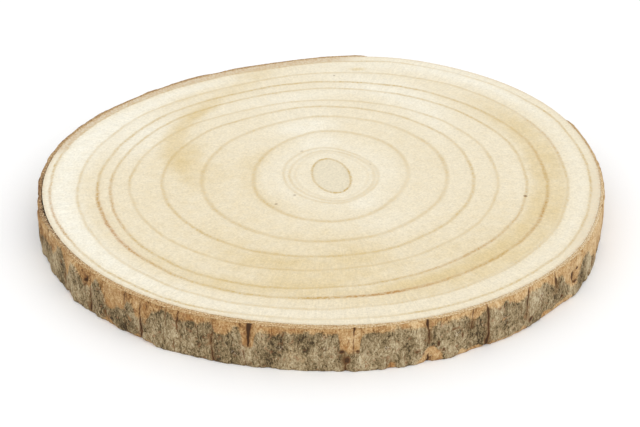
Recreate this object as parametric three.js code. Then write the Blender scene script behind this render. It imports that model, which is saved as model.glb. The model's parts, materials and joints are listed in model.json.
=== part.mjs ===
// A slice sawn across a fast-grown trunk: a sanded disc of pale wood with its bark still on.
// Millimetres, +Z up. The slice lies on its underside, Z = 0, with its origin under the middle of its box.
// All angles turn about the pith, which stands a little off the middle, and start at +X.

import * as THREE from "three";

// Wood: a disc of even thickness, with its radius from the pith given every 15 degrees, a quarter turn a line
const THICKNESS = 23.5;
const WOOD_RADII = [
  141, 143.3, 146.8, 148.6, 148.8, 148.2,
  143.6, 138.6, 138.8, 141, 145, 149.6,
  151, 150, 147.5, 144.7, 141.5, 138.3,
  137.2, 137.8, 138, 138.8, 140, 139.7,
];

// Bark: its thickness is given in the same way, and it dried a hair lower than the faces of the wood
const BARK_THICKNESS = [
  2.1, 1.9, 2, 2.2, 2.6, 2.6,
  2.5, 2.5, 2.9, 3.2, 3.3, 3.2,
  2.4, 2.4, 3.6, 4.1, 4.3, 4.6,
  4, 3.4, 3.3, 2.9, 2.4, 2.1,
];
const BARK_LEAST = 1.2;
const BARK_SHY = 0.2;

// Seam between wood and bark, with the stretch where the bark dried away from the wood
const SEAM = 0.3;
const DRYING_GAP = { angle: 190, half: 16, width: 0.8 };

// Stretch where the upper edge of the bark is broken off and the side of the wood lies bare
const BREAK = { from: 14, fullFrom: 40, fullTo: 70, to: 84, drop: 9 };
const RAGGED = [
  { cells: 47, rise: 1, height: 3.2 },
  { cells: 170, rise: 1, height: 1.6 },
];

// Relief of the bark: swells, cracks along the trunk, chips off its upper edge and worn edges
const SWELL = { height: 0.7, cells: 64, rise: 14 };
const CRACK = { depth: 1.5, full: 0.5, flank: 1.7, wander: 0.6, wave: 5, fade: 2 };
const CHIP = { depth: 0.8, slope: 2, thinBark: 2.2, thickBark: 3.6 };
const WEAR = { upper: 0.5, lower: 0.4, rise: 2 };
const LOWER_CHAMFER = { angle: 335, half: 40, depth: 0.6 };

// Cracks that show at the front: [angle, lower end, upper end, half width at the mouth]
const FRONT_CRACKS = [
  [181.5, 1, 22, 0.5],
  [184.6, 5, 23, 0.6],
  [188.4, 0, 17, 0.5],
  [191, 8, 23, 0.6],
  [194.5, 0, 12, 0.45],
  [201, 15, 23, 0.35],
  [209.6, 0, 12, 0.25],
  [217.3, 16, 19, 0.45],
  [218.5, 2, 14, 0.35],
  [223.2, 0, 6, 0.25],
  [228.2, 15, 23, 0.3],
  [231.9, 1, 21, 0.32],
  [239.3, 1, 8, 0.25],
  [240.4, 12, 23, 0.32],
  [247.2, 2, 17, 0.32],
  [253.4, 1, 9, 0.3],
  [254.1, 12, 24, 0.55],
  [272.2, 1, 9, 0.3],
  [273.7, 10, 24, 0.3],
  [288.3, 0, 4, 0.6],
  [288.1, 12, 23, 0.45],
  [297.5, 14, 22, 0.25],
  [300.9, 0, 22, 0.45],
  [310.7, 7, 22, 0.32],
  [319, 12, 22, 0.38],
  [325.4, 9, 15, 0.4],
  [336, 2, 11, 0.25],
];
// Cracks round the rest of the trunk, drawn at a steady pace, with their ends as shares of the thickness
const REST_CRACKS = {
  from: 344,
  to: 540,
  count: 26,
  low: [-0.2, 0.4],
  high: [0.65, 1.05],
  half: [0.15, 0.45],
};

// Chips off the upper edge at the front: [angle, half width, drop]
const FRONT_CHIPS = [
  [203, 10, 8],
  [210.6, 3, 10],
  [217.5, 5.5, 8],
  [225.2, 6.5, 12],
  [232.3, 5, 9.5],
  [242.5, 6, 3.5],
  [249.2, 4.6, 6.8],
  [254.1, 3, 12],
  [258.8, 5.5, 4],
  [273.2, 5.2, 12.5],
  [288.5, 3, 5],
  [297.8, 3.4, 5],
  [308.3, 4, 4],
  [318.5, 3, 6],
  [325.8, 8, 15.5],
  [343, 18, 19],
];
const REST_CHIPS = { from: 344, to: 540, count: 14, half: [3, 7], drop: [1.5, 5] };

const SHIFT = [0.2, 0.8]; // how far a drawn crack or chip may stand along its own step of the girth
const SEED = { cracks: 1, chips: 2, ragged: 3, swell: 4 };

// Fineness of the faceted surface
const COLUMNS = 560;
const ROWS = [0, 0.07, 0.25, 0.43, 0.6, 0.76, 0.89, 1]; // shares of the bark's height

const WOOD_LOOK = { color: 0xf1e6c8, roughness: 0.75, metalness: 0 };
const BARK_LOOK = { color: 0x8a7a62, roughness: 0.95, metalness: 0 };

const TURN = 2 * Math.PI;
const GIRTH_RADIUS = WOOD_RADII.reduce((sum, r) => sum + r) / WOOD_RADII.length;
const { clamp, degToRad, euclideanModulo, lerp, radToDeg, smoothstep } = THREE.MathUtils;

// Closed smooth curve through evenly spaced values, read at an angle
function around(values, angle) {
  const place = euclideanModulo(angle / TURN, 1) * values.length;
  const first = Math.floor(place);
  const t = place - first;
  const [a, b, c, d] = [-1, 0, 1, 2].map((k) => values[(first + k + values.length) % values.length]);
  return b + 0.5 * t * (c - a + t * (2 * a - 5 * b + 4 * c - d + t * (3 * (b - c) + d - a)));
}

// Angle on from a direction given in degrees, the short way round
function onFrom(degrees, angle) {
  const turns = (angle - degToRad(degrees)) / TURN;
  return (turns - Math.round(turns)) * TURN;
}

// 1 at the middle of a stretch of the girth, 0 outside it
function stretch(angle, { angle: middle, half }) {
  return 1 - smoothstep(Math.abs(onFrom(middle, angle)), 0, degToRad(half));
}

// Repeatable number from 0 to 1 for a point of a lattice
function draw(i, j, seed) {
  const wave = Math.sin(i * 127.1 + j * 311.7 + seed * 74.7) * 43758.5453;
  return wave - Math.floor(wave);
}

// Smooth noise from -1 to 1 over the bark, with a number of cells round the girth and rows of a given rise
function ripple(angle, z, { cells, rise }, seed) {
  const u = euclideanModulo(angle / TURN, 1) * cells;
  const v = z / rise;
  const [i, j] = [Math.floor(u), Math.floor(v)];
  const [s, t] = [smoothstep(u - i, 0, 1), smoothstep(v - j, 0, 1)];
  const row = (k) => lerp(draw(i, j + k, seed), draw((i + 1) % cells, j + k, seed), s);
  return 2 * lerp(row(0), row(1), t) - 1;
}

// Evenly paced places round part of the girth, each shifted by a seeded draw
function scatter({ from, to, count }, seed) {
  const step = (to - from) / count;
  return Array.from({ length: count }, (_, i) => from + (i + lerp(...SHIFT, draw(i, 0, seed))) * step);
}

function allCracks() {
  const rest = scatter(REST_CRACKS, SEED.cracks).map((degrees, i) => [
    degrees,
    THICKNESS * lerp(...REST_CRACKS.low, draw(i, 1, SEED.cracks)),
    THICKNESS * lerp(...REST_CRACKS.high, draw(i, 2, SEED.cracks)),
    lerp(...REST_CRACKS.half, draw(i, 3, SEED.cracks)),
  ]);
  return [...FRONT_CRACKS, ...rest];
}

function allChips() {
  const rest = scatter(REST_CHIPS, SEED.chips).map((degrees, i) => [
    degrees,
    lerp(...REST_CHIPS.half, draw(i, 1, SEED.chips)),
    lerp(...REST_CHIPS.drop, draw(i, 2, SEED.chips)),
  ]);
  return [...FRONT_CHIPS, ...rest];
}

const CRACKS = allCracks();
const CHIPS = allChips();

// How deep the surface lies in a crack, from 0 to 1; a narrow crack is shallow
function crackAt(angle, z) {
  let deepest = 0;
  for (const [degrees, low, high, half] of CRACKS) {
    const wander = CRACK.wander * Math.sin(z / CRACK.wave + degrees);
    const across = Math.abs(onFrom(degrees, angle) * GIRTH_RADIUS - wander) / CRACK.flank;
    const along = Math.min(z - low, high - z) / CRACK.fade;
    const depth = Math.min(1, half / CRACK.full);
    deepest = Math.max(deepest, depth * clamp(1 - across, 0, 1) * clamp(along + 1, 0, 1));
  }
  return deepest;
}

// How far the surface lies inside a chip off the upper edge, from 0 to 1
function chipAt(angle, z, top) {
  let deepest = 0;
  for (const [degrees, half, drop] of CHIPS) {
    const across = (onFrom(degrees, angle) * GIRTH_RADIUS) / half;
    const floor = top - drop * Math.sqrt(Math.max(0, 1 - across * across));
    deepest = Math.max(deepest, clamp((z - floor) / CHIP.slope, 0, 1));
  }
  return deepest;
}

const woodRadius = (angle) => around(WOOD_RADII, angle);

const barkInside = (angle) => woodRadius(angle) + SEAM + DRYING_GAP.width * stretch(angle, DRYING_GAP);

// How far the upper edge of the bark is broken off, from 0 to 1
function breakAt(angle) {
  const degrees = radToDeg(euclideanModulo(angle, TURN));
  const begun = smoothstep(degrees, BREAK.from, BREAK.fullFrom);
  return begun * (1 - smoothstep(degrees, BREAK.fullTo, BREAK.to));
}

function barkTop(angle) {
  const broken = breakAt(angle);
  const ragged = RAGGED.reduce((sum, edge) => sum + edge.height * ripple(angle, 0, edge, SEED.ragged), 0);
  return THICKNESS - BARK_SHY - broken * (BREAK.drop + broken * ragged);
}

function barkOutside(angle, z) {
  const top = barkTop(angle);
  const grown = around(BARK_THICKNESS, angle);
  const worn = (depth, away) => depth * clamp(1 - away / WEAR.rise, 0, 1) ** 2;
  const lower = WEAR.lower + LOWER_CHAMFER.depth * stretch(angle, LOWER_CHAMFER);
  const chipped = CHIP.depth * chipAt(angle, z, top) * smoothstep(grown, CHIP.thinBark, CHIP.thickBark);
  const thickness =
    grown +
    SWELL.height * ripple(angle, z, SWELL, SEED.swell) -
    CRACK.depth * crackAt(angle, z) -
    chipped -
    worn(WEAR.upper, top - z) -
    worn(lower, z - BARK_SHY);
  return barkInside(angle) + Math.max(BARK_LEAST, thickness);
}

const angleOf = (column) => (column / COLUMNS) * TURN;

function woodGeometry() {
  const edge = Array.from({ length: COLUMNS }, (_, column) => {
    const angle = angleOf(column);
    return new THREE.Vector2(Math.cos(angle), Math.sin(angle)).multiplyScalar(woodRadius(angle));
  });
  return new THREE.ExtrudeGeometry(new THREE.Shape(edge), { depth: THICKNESS, bevelEnabled: false });
}

// Closed section of the bark at an angle, as [radius, height]: up its outside, then down against the wood
function barkSection(angle) {
  const top = barkTop(angle);
  const outside = ROWS.map((share) => {
    const z = lerp(BARK_SHY, top, share);
    return [barkOutside(angle, z), z];
  });
  return [...outside, [barkInside(angle), top], [barkInside(angle), BARK_SHY]];
}

function barkGeometry() {
  const sections = Array.from({ length: COLUMNS }, (_, column) => barkSection(angleOf(column)));
  const size = sections[0].length;
  const positions = sections.flatMap((section, column) => {
    const angle = angleOf(column);
    return section.flatMap(([r, z]) => [r * Math.cos(angle), r * Math.sin(angle), z]);
  });
  const faces = [];
  for (let column = 0; column < COLUMNS; column += 1) {
    for (let k = 0; k < size; k += 1) {
      const here = column * size;
      const next = ((column + 1) % COLUMNS) * size;
      const up = (k + 1) % size;
      faces.push(here + k, next + k, next + up, here + k, next + up, here + up);
    }
  }
  const geometry = new THREE.BufferGeometry();
  geometry.setAttribute("position", new THREE.Float32BufferAttribute(positions, 3));
  geometry.setIndex(faces);
  geometry.computeVertexNormals();
  return geometry;
}

function piece(name, geometry, look) {
  const mesh = new THREE.Mesh(geometry, new THREE.MeshStandardMaterial(look));
  mesh.name = name;
  return mesh;
}

const trunk = new THREE.Group();
trunk.add(piece("wood", woodGeometry(), WOOD_LOOK), piece("bark", barkGeometry(), BARK_LOOK));

// The pith is moved so that the middle of the slice's box stands over the origin
const middle = new THREE.Box3().setFromObject(trunk).getCenter(new THREE.Vector3());
trunk.position.set(-middle.x, -middle.y, 0);

const slice = new THREE.Group();
slice.add(trunk);

export default slice;
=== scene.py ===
"""Looks of a wood slice: pale ringed wood and cracked bark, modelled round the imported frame.

Sizes are in millimetres and turn into metres where a mesh, a bump, the floor or the camera is made.
Angles turn about the pith and start at +X, as in the part's source.
"""

import json
import math
from types import SimpleNamespace as Values

import bpy
import numpy as np
from mathutils import Color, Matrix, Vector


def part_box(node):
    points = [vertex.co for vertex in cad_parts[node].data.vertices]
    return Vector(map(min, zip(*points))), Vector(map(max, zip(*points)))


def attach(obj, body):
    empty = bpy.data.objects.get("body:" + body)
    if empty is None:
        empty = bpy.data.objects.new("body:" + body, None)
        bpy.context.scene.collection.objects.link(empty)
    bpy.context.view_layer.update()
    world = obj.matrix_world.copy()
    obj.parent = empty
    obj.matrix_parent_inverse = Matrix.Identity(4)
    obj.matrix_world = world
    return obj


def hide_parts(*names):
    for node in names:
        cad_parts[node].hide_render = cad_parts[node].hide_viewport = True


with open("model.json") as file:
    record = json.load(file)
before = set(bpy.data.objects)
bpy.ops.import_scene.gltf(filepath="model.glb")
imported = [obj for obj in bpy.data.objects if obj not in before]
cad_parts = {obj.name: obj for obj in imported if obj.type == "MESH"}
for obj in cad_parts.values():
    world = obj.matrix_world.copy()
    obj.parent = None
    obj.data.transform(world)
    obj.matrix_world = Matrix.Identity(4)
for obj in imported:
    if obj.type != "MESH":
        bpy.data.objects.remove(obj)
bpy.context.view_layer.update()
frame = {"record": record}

MM = 0.001
TURN = 2 * math.pi

# Where the slice is, from the frame
PITH = np.array(next(m["pos_m"] for m in frame["record"]["mounts"] if m["name"] == "top_face")[:2]) / MM
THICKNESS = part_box("wood")[1].z / MM

# Outline of the wood and thickness of the bark, every 15 degrees, as in the part's source
WOOD_RADII = np.array([
    141, 143.3, 146.8, 148.6, 148.8, 148.2, 143.6, 138.6, 138.8, 141, 145, 149.6,
    151, 150, 147.5, 144.7, 141.5, 138.3, 137.2, 137.8, 138, 138.8, 140, 139.7,
])
BARK_THICKNESS = np.array([
    2.1, 1.9, 2, 2.2, 2.6, 2.6, 2.5, 2.5, 2.9, 3.2, 3.3, 3.2,
    2.4, 2.4, 3.6, 4.1, 4.3, 4.6, 4, 3.4, 3.3, 2.9, 2.4, 2.1,
])
GIRTH_RADIUS = WOOD_RADII.mean()
BARK_LEAST = 1.2  # least thickness
BARK_SHY = 0.2  # how far the bark stays short of the slice's two faces

# Gap between wood and bark, narrower than between the solids, and where the bark dried away from the wood.
# A reach is angle, half angle and, if given, ramp.
SEAM = 0.06
# The stained reach is where the sawn edge is browner and also carries a painted shadow of the gap
DRYING_GAP = Values(reach=(190, 16), stained=(190, 32), width=1)
GAP_BEADS = [(90, 0.5, 0.5), (330, 0.7, 0.6)]  # cells round the girth, mean, swing
# Where the bark is broken off, in degrees, how far down, and how ragged its edge is there
BREAK = Values(start=22, full_start=42, full_end=70, end=84, drop=9)
RAGGED = [(47, 3.2), (170, 1.6)]  # cells round the girth, height
# Stretches of the rim that are darker or paler
DARK_BACK = Values(reach=(130, 52, 15), strength=0.9, fall_off=1.5)
PALE_RIM = (320, 75, 50)
# Swells of the bark, bumps at the back left, and worn edges
SWELL = Values(cells=64, rise=14, height=0.7)
BUMPS = Values(cells=100, rise=40, height=0.8, reach=(155, 50, 20))
WEAR = Values(upper=0.5, lower=0.4, rise=2)
LOWER_CHAMFER = Values(reach=(335, 40), depth=0.6)

# Cracks at the front: [angle, lower end, upper end, half width]
FRONT_CRACKS = [
    [181.5, 1, 22, 0.5], [184.6, 5, 23, 0.6], [188.4, 0, 17, 0.5], [191, 8, 23, 0.6],
    [194.5, 0, 12, 0.45], [201, 15, 23, 0.35], [209.6, 0, 12, 0.25], [217.3, 16, 19, 0.45],
    [218.5, 2, 14, 0.35], [223.2, 0, 6, 0.25], [228.2, 15, 23, 0.3], [231.9, 1, 21, 0.32],
    [239.3, 1, 8, 0.25], [240.4, 12, 23, 0.32], [247.2, 0, 17, 0.28], [253.4, 1, 9, 0.3],
    [254.1, 12, 24, 0.65], [272.2, 1, 9, 0.3], [273.7, 10, 24, 0.3], [288.3, 0, 4, 0.6],
    [288.1, 12, 23, 0.45], [297.5, 14, 22, 0.25], [300.9, 0, 22, 0.45], [310.7, 7, 22, 0.32],
    [319, 12, 22, 0.38], [325.4, 9, 15, 0.4], [336, 2, 11, 0.25],
]
# Dark bits beside the cracks: [angle, height, half width, half height]
DARK_BITS = [
    [217.2, 17.2, 1.2, 1], [232.4, 6, 1, 2], [254.1, 22.4, 1, 1.6], [271.6, 11, 1.4, 0.8],
    [274.6, 10.8, 1, 0.7], [272.6, 6.5, 1.5, 2], [286, 7.4, 1.6, 0.6], [287.2, 5.6, 1, 0.6],
    [290.2, 10, 0.7, 1.6], [291.2, 6.6, 0.8, 1], [293.6, 16.2, 2.6, 0.5], [295.2, 11, 0.5, 1.6],
    [311.6, 5.5, 1.8, 1.6], [325.2, 13.4, 1.8, 2], [326.2, 9.4, 1.6, 0.9], [327, 16, 1.4, 0.8],
    [321.6, 6, 1.6, 0.8], [300.6, 3.5, 1.2, 1.6],
]
# Rest of the trunk: cracks, with their ends as shares of the thickness, and chips off the upper edge
REST = {"from": 344, "to": 540, "shift": (0.2, 0.8)}
REST_CRACKS = REST | {"count": 26, "low": (-0.2, 0.4), "high": (0.65, 1.05), "half": (0.15, 0.45)}
REST_CHIPS = REST | {"count": 14, "half": (3, 7), "drop": (1.5, 5)}
SEED = Values(cracks=1, chips=2, ragged=3, swell=4, fine=10, waver=40, rim=60, grain=80, gap=90)

# Finer relief of the bark
CRACK = Values(
    depth=1.6, wander=0.5, wave=5, waver=0.3, waver_rise=1.9, fade=2,
    taper=(0.45, 1.35), swing=0.6, swing_rise=3,
    reach=2.2, deep_from=1.6, dark_from=1.5, halo=2.4,
)
FISSURES = {
    "from": 0, "to": 360, "count": 200, "shift": (0, 1),
    "low": (-0.1, 0.85), "length": (3, 10), "half": (0.1, 0.25), "depth": 0.8, "dark": 0.5,
}
FINE_RELIEF = [(150, 12, 0.35), (300, 7, 0.4), (640, 3.2, 0.25)]  # cells round the girth, rise, height
WARP = Values(cells=120, rise=5, turn=0.012)
SPOT_EDGE = 1.4  # where a spot ends, in its own half sizes
FALL_OFF = 3  # power by which tones and washes fade outwards

# Where the grey outer bark is off: how much goes with it, and where the bark is thick enough for that
BARE = Values(depth=0.8, smoothing=0.6, thickness=(2.2, 3.6))
RIM = Values(least=1, uneven=[(120, 5, 0.8), (360, 2.4, 1.1)], ramp=(-2.6, 1.8))
STRIP = Values(uneven=1.2, ramp=(-1.4, 1))
# Grain of the sawn edge, and how it arches and rises towards the wood
SAWN = Values(
    cells=1100, rise=1.3, spread=20, height=0.14, broken=0.5, sink=0.6,
    arch=0.94, inner_rise=0.8, under=0.1,
)

# Lower edge of the rim where the grey outer bark is off: [angle, height]
RIM_EDGE = [
    [0, 3], [12, 10], [25, 18], [60, 20.5], [120, 20.5], [165, 19], [178, 13], [190, 15], [196, 13],
    [200, 15], [204, 14.5], [206.5, 22], [208, 22.5], [210.5, 13], [212.7, 21.5], [214.3, 22.5], [216.3, 16],
    [218.8, 15.5], [220.5, 22.5], [221.5, 22.5], [223.2, 12.5], [224.5, 10.5], [226.5, 13.5],
    [228, 14], [229.3, 20.5], [230.2, 20], [231.2, 14], [233.6, 14], [235, 19.5], [236, 19.5],
    [237.2, 22.3], [238.6, 22.5], [239.5, 20], [241.3, 19], [243.5, 20.5], [244.5, 19.5],
    [246.4, 22.8], [247.2, 22], [247.8, 17.5], [249.2, 16.7], [250.6, 18.5], [251.5, 21.5],
    [252.5, 20.5], [253.3, 12.5], [254, 11.5], [255, 13], [255.7, 20], [256.5, 22], [258.5, 19.3],
    [260, 19.6], [261, 21], [264, 20.5], [265.3, 21.7], [270.8, 21.5], [271.4, 12], [273, 10.5],
    [274.8, 11], [275.3, 19], [276, 21.3], [280.5, 21], [282.5, 22], [286.5, 21], [288.5, 18],
    [290.3, 22], [296, 21.5], [297, 19], [298.5, 18.5], [299.5, 21], [301, 21.8], [303, 20.5],
    [304.8, 22], [308.4, 19.5], [311.3, 21], [316, 20.8], [318.5, 17], [319.6, 19.5], [321, 20],
    [323.2, 12], [325, 8], [327.5, 8], [330, 18], [332, 18.5], [334, 15], [338.5, 6], [345, 3],
]
# Where it is off along the lower edge: [angle, half angle, height]
LOWER_STRIPS = [
    [211, 2, 3], [223.8, 3, 3.4], [232, 6, 1.4], [281, 1.4, 4], [288.8, 3.4, 9.5], [295, 1.6, 3],
    [305, 13, 2.2], [309.5, 2, 4], [316.5, 3, 4], [322, 6, 3], [120, 10, 2], [30, 8, 2.4],
    [80, 5, 3],
]
# Darker and paler places of the bark: [angle, height, half width, half height, tone]
BARK_TONES = [
    [185, 12, 20, 24, -1.6], [201, 8, 12, 8, 0.1], [207.5, 16, 3, 7, -0.4], [214, 10, 6, 8, 0.35],
    [222, 5, 5, 5, -0.3], [226.3, 18.5, 3.2, 4, -0.3], [227.3, 8, 5.5, 8, -0.5], [229.8, 18, 2.2, 5, -0.2],
    [234.5, 5, 3.2, 5, -0.5], [237.5, 14, 4, 9, 0.25], [243.8, 14, 4, 6, -0.3],
    [246.8, 19, 2, 5, -0.4], [257.6, 12, 3.6, 9, -0.7], [263.5, 12, 7, 8, -0.5],
    [272.4, 6, 6, 4, -0.6], [280, 12, 10, 8, 0.4], [278.5, 12, 2, 2, -0.7],
    [281.5, 11, 1.5, 1.5, -0.5], [279.5, 4, 2.5, 2, 0.5], [293, 8, 8, 6, 0.2], [304, 12, 5, 6, 0.5],
    [314, 12, 9, 8, 1.2], [333, 11, 6, 7, 0.6], [338, 20, 14, 8, 1.8], [326, 18, 6, 5, 0.6],
    [352, 12, 20, 14, 0.8], [200, 21, 10, 3, 1.2],
]
# Small scars of old buds: [angle, height, half width, half height]
SCARS = [
    [252, 7, 3, 1.2], [260.2, 12.4, 2.4, 1.1], [268.1, 12.8, 2, 1], [279.9, 12, 1.4, 1],
    [294, 13, 2, 1.2], [304.9, 14, 1.8, 0.9], [305, 11.5, 1.6, 0.8], [314.5, 15.6, 2.2, 1.2],
    [160, 12, 3, 1], [110, 9, 2.6, 1], [20, 12, 3, 1], [350, 8, 2.6, 0.9],
]
# Rust spots in the chips and knots beside them: [angle, height, half width, half height]
RUST_SPOTS = [
    [213, 21.5, 1.5, 1], [223.8, 11.8, 2.4, 2], [229.6, 10.7, 1.4, 1.4], [233, 19.6, 1.4, 1.2],
    [233.2, 12, 1.4, 1], [242.8, 21.3, 2, 1], [249.2, 20.6, 3, 1.8], [248.6, 18, 1.6, 0.9],
    [254, 13.8, 3.4, 1.5], [258.5, 21.5, 2.6, 1], [273.2, 13, 4, 1.6], [272.4, 18, 1.4, 2.6],
    [281, 2.6, 1.8, 1.5], [283.6, 22, 2.4, 0.8], [288.6, 7.4, 2.6, 1], [290, 5, 2, 1.4],
    [297.7, 19.6, 1.4, 2], [268, 12.6, 1.2, 0.8], [314.4, 15.2, 1.4, 0.8], [317, 3, 2.6, 1],
    [240.4, 9, 1.6, 1.2], [304.6, 13, 1.4, 1], [150, 19, 2, 1.2], [95, 18, 2.2, 1.4],
]

# Pith: an ellipse, with its long half axis turned from +X
PITH_LONG, PITH_SHORT, PITH_LEAN = 18.2, 9.9, math.radians(100)
# Outline that the rings follow, every 30 degrees
GROWTH_RADII = np.array([140, 147, 150, 143.5, 138, 146.5, 151, 146.5, 140.5, 136, 137, 139])
# Growth rings, as shares of the way from pith to that outline:
# [share, lean, its angle, twofold stretch, its angle, threefold stretch]
RINGS = [
    [0.062, 0.002, 343, 0.006, 3, 0.002],
    [0.083, 0.003, 343, 0.008, 3, 0.002],
    [0.104, 0.004, 149, 0.006, 178, 0.005],
    [0.238, 0.004, 90, 0.0167, 67, 0.007],
    [0.400, 0.021, 199, 0.0063, 38, 0.009],
    [0.516, 0.041, 204, 0.0115, 6, 0.008],
    [0.610, 0.059, 216, 0.0244, 8, 0.007],
    [0.718, 0.052, 233, 0.0122, 25, 0.015],
    [0.787, 0.046, 251, 0.0049, 3, 0.014],
    [0.868, 0.033, 260, 0.0053, 39, 0.008],
]
THREEFOLD_ANGLE = 117
RING_REACH = 3  # how far marks of a ring's line fade off beside it
# How far the last ring lies inside the edge of the wood, every 30 degrees
LAST_RING_INSET = np.array([5.3, 5.8, 6.3, 6.6, 4.9, 3.9, 3.9, 3.8, 3.1, 4.7, 5, 5.1])
# Line of the pith's edge and of each ring: [strength, half width]
RING_LINES = [
    [0.5, 1.3], [0.11, 1.5], [0.22, 1.5], [0.22, 1.5], [0.3, 2.2], [0.3, 2.1], [0.36, 1.7], [0.27, 1.5],
    [0.38, 1.5], [0.48, 1.7], [0.27, 1.5], [0.4, 1.3],
]
# Stretches where a line is stronger or fainter: [angle, half angle, ring, change]
LINE_CHANGES = [
    [268, 26, 11, -0.75], [58, 28, 11, -0.5], [10, 32, 10, 0.5], [25, 50, 9, -0.35], [150, 55, 9, -0.3],
    [120, 30, 0, 0.6], [310, 30, 0, 0.5], [350, 50, 4, -0.4], [70, 50, 5, -0.3], [281, 13, 9, 0.9],
]
# Stained stretches of the layer outside the last ring: [angle, half angle, ramp, strength]
LAST_LAYER = [[128, 46, 8, 0.85], [345, 26, 16, 0.22]]
# Reddest stretches of ring lines: [angle, half angle, ring, strength]
RED_LINES = [
    [208, 34, 9, 0.9], [290, 40, 9, 0.8], [335, 30, 9, 0.5], [12, 26, 9, 0.4], [195, 24, 8, 0.6],
    [315, 45, 8, 0.6], [195, 20, 11, 0.7], [20, 20, 10, 0.5],
]
# Tan washes: [angle, half angle, share of the radius, half share, strength, slant in degrees if any]
TAN_WASHES = [
    [300, 46, 0.58, 0.1, 0.12], [230, 12, 0.57, 0.05, 0.2], [249, 15, 0.635, 0.05, 0.36],
    [254, 20, 0.69, 0.12, 0.3], [262, 10, 0.78, 0.04, 0.25], [228, 46, 0.83, 0.055, 0.2],
    [216, 74, 0.54, 0.3, 0.24], [200, 58, 0.29, 0.035, 0.2], [160, 20, 0.3, 0.06, 0.25],
    [165, 10, 0.535, 0.05, 0.55, -60], [148, 9, 0.68, 0.2, 0.52, -190],
    [320, 50, 0.58, 0.12, 0.1], [137, 6, 0.72, 0.03, 0.35, -150], [20, 60, 0.37, 0.08, 0.15],
    [268, 26, 0.47, 0.07, 0.15], [178, 10, 0.43, 0.08, 0.22], [110, 7, 0.93, 0.05, 0.35, -60],
    [82.7, 2.2, 0.875, 0.012, 0.8], [290, 14, 0.795, 0.035, 0.45], [246, 16, 0.82, 0.035, 0.3],
    [30, 18, 0.8, 0.045, 0.25], [281, 12, 0.58, 0.07, 0.3], [128, 14, 0.87, 0.03, 0.3],
]
# Tan bands between two rings: [inner ring, outer ring, angle, half angle, strength]
TAN_BANDS = [[8, 10, 318, 80, 0.6], [8, 10, 15, 52, 0.45], [7, 9, 315, 45, 0.3], [7, 8, 274, 26, 0.4]]
# Whiter washes, given like the tan washes
WHITE_WASHES = [
    [178, 46, 0.93, 0.07, 0.75], [66, 17, 0.69, 0.2, 0.55, 130], [102, 24, 0.27, 0.05, 0.4],
    [106, 22, 0.4, 0.06, 0.4], [302, 15, 0.25, 0.05, 0.35], [300, 16, 0.4, 0.09, 0.25],
    [158, 15, 0.74, 0.09, 0.5, -60], [64, 30, 0.94, 0.07, 0.55], [104, 34, 0.68, 0.05, 0.3],
    [228, 45, 0.94, 0.05, 0.4], [2, 56, 0.93, 0.035, 0.4], [160, 16, 0.85, 0.1, 0.4],
    [70, 400, 0.18, 0.08, 0.3], [126, 22, 0.9, 0.06, 0.4], [104, 18, 0.5, 0.22, 0.3],
]
# Flecks in the wood: [angle, radius, half length along the radius, half width, strength]
FLECKS = [
    [347.9, 102, 1.1, 0.9, 0.8], [227, 28, 0.9, 0.8, 0.45], [226, 41, 0.9, 0.8, 0.5],
    [121, 31, 0.8, 0.9, 0.3], [30, 24, 0.5, 1, 0.25], [88.9, 118.9, 0.9, 0.7, 0.45],
]

# Points round each mesh and along its outline
WOOD_COLUMNS = 720
FACE_ROWS, BEND_ROWS, WOOD_SIDE_ROWS = 42, 4, 12
WOOD_ROUNDING = 0.1  # radius of its edges
SIDE_GRAIN = Values(cells=900, rise=30, height=0.1)  # on its bare side
BARK_COLUMNS = 2300
BARK_SIDE_ROWS, SAWN_ROWS, INNER_ROWS, UNDER_ROWS = 29, 8, 4, 5

# Flat maps, in shares of the map: bands of the sides, and the two faces of the wood
FLAT_MAP = "OFBake"
WOOD_BANDS, BARK_BANDS = 4, 5
BARK_MAP = Values(along=(0.01, 0.99), up=(0.02, 0.98))
WOOD_SIDE_MAP = Values(along=(0.01, 0.56), up=0.75, step=0.06, rise=0.05)
TOP_MAP = Values(middle=0.37, half=0.36)
UNDER_MAP = Values(middle=0.79, half=0.2)

# Studio, with the camera at the photograph's angle. Its aim is given from the pith on the upper face.
STUDIO_LEVEL = 1.12  # brightness of a white surface that faces up
SKY_STRENGTH = 0.81
SUN_SPREAD = 70
SUNS = [("key", 50, 40, 0.95), ("fill", 40, -35, 0.45)]  # name, lean from above, turn about +Z, strength
FLOOR = Values(size=8000, white=0.97, roughness=0.9)
CAMERA = Values(aim=(-6.05, -38.33, -0.3), elevation=31, distance=823, lens=91.45, sensor=36)

# Factors of the seeded draws, as in the part's source
LATTICE = Values(across=127.1, up=311.7, seed=74.7, spread=43758.5453)


def srgb(*levels):
    """Colour to be seen, from 0 to 255, as the linear colour of a surface under the studio light."""
    linear = Color([level / 255 for level in levels]).from_srgb_to_scene_linear()
    return (*(linear / STUDIO_LEVEL), 1.0)


def smoothstep(value, low, high):
    share = np.clip((value - low) / (high - low), 0, 1)
    return share * share * (3 - 2 * share)


def around(values, angle):
    """Closed smooth curve through evenly spaced values, read at an angle."""
    place = (angle / TURN % 1) * len(values)
    first = np.floor(place).astype(int)
    t = place - first
    a, b, c, d = (values[(first + k) % len(values)] for k in (-1, 0, 1, 2))
    return b + 0.5 * t * (c - a + t * (2 * a - 5 * b + 4 * c - d + t * (3 * (b - c) + d - a)))


def on_from(degrees, angle):
    """Angle on from a direction given in degrees, the short way round."""
    turns = (angle - math.radians(degrees)) / TURN
    return (turns - np.round(turns)) * TURN


def stretch(angle, middle, half, ramp=None):
    """1 at the middle of a stretch of the girth, 0 outside it."""
    away = np.degrees(np.abs(on_from(middle, angle)))
    return 1 - smoothstep(away, half - (ramp or half), half)


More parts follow.
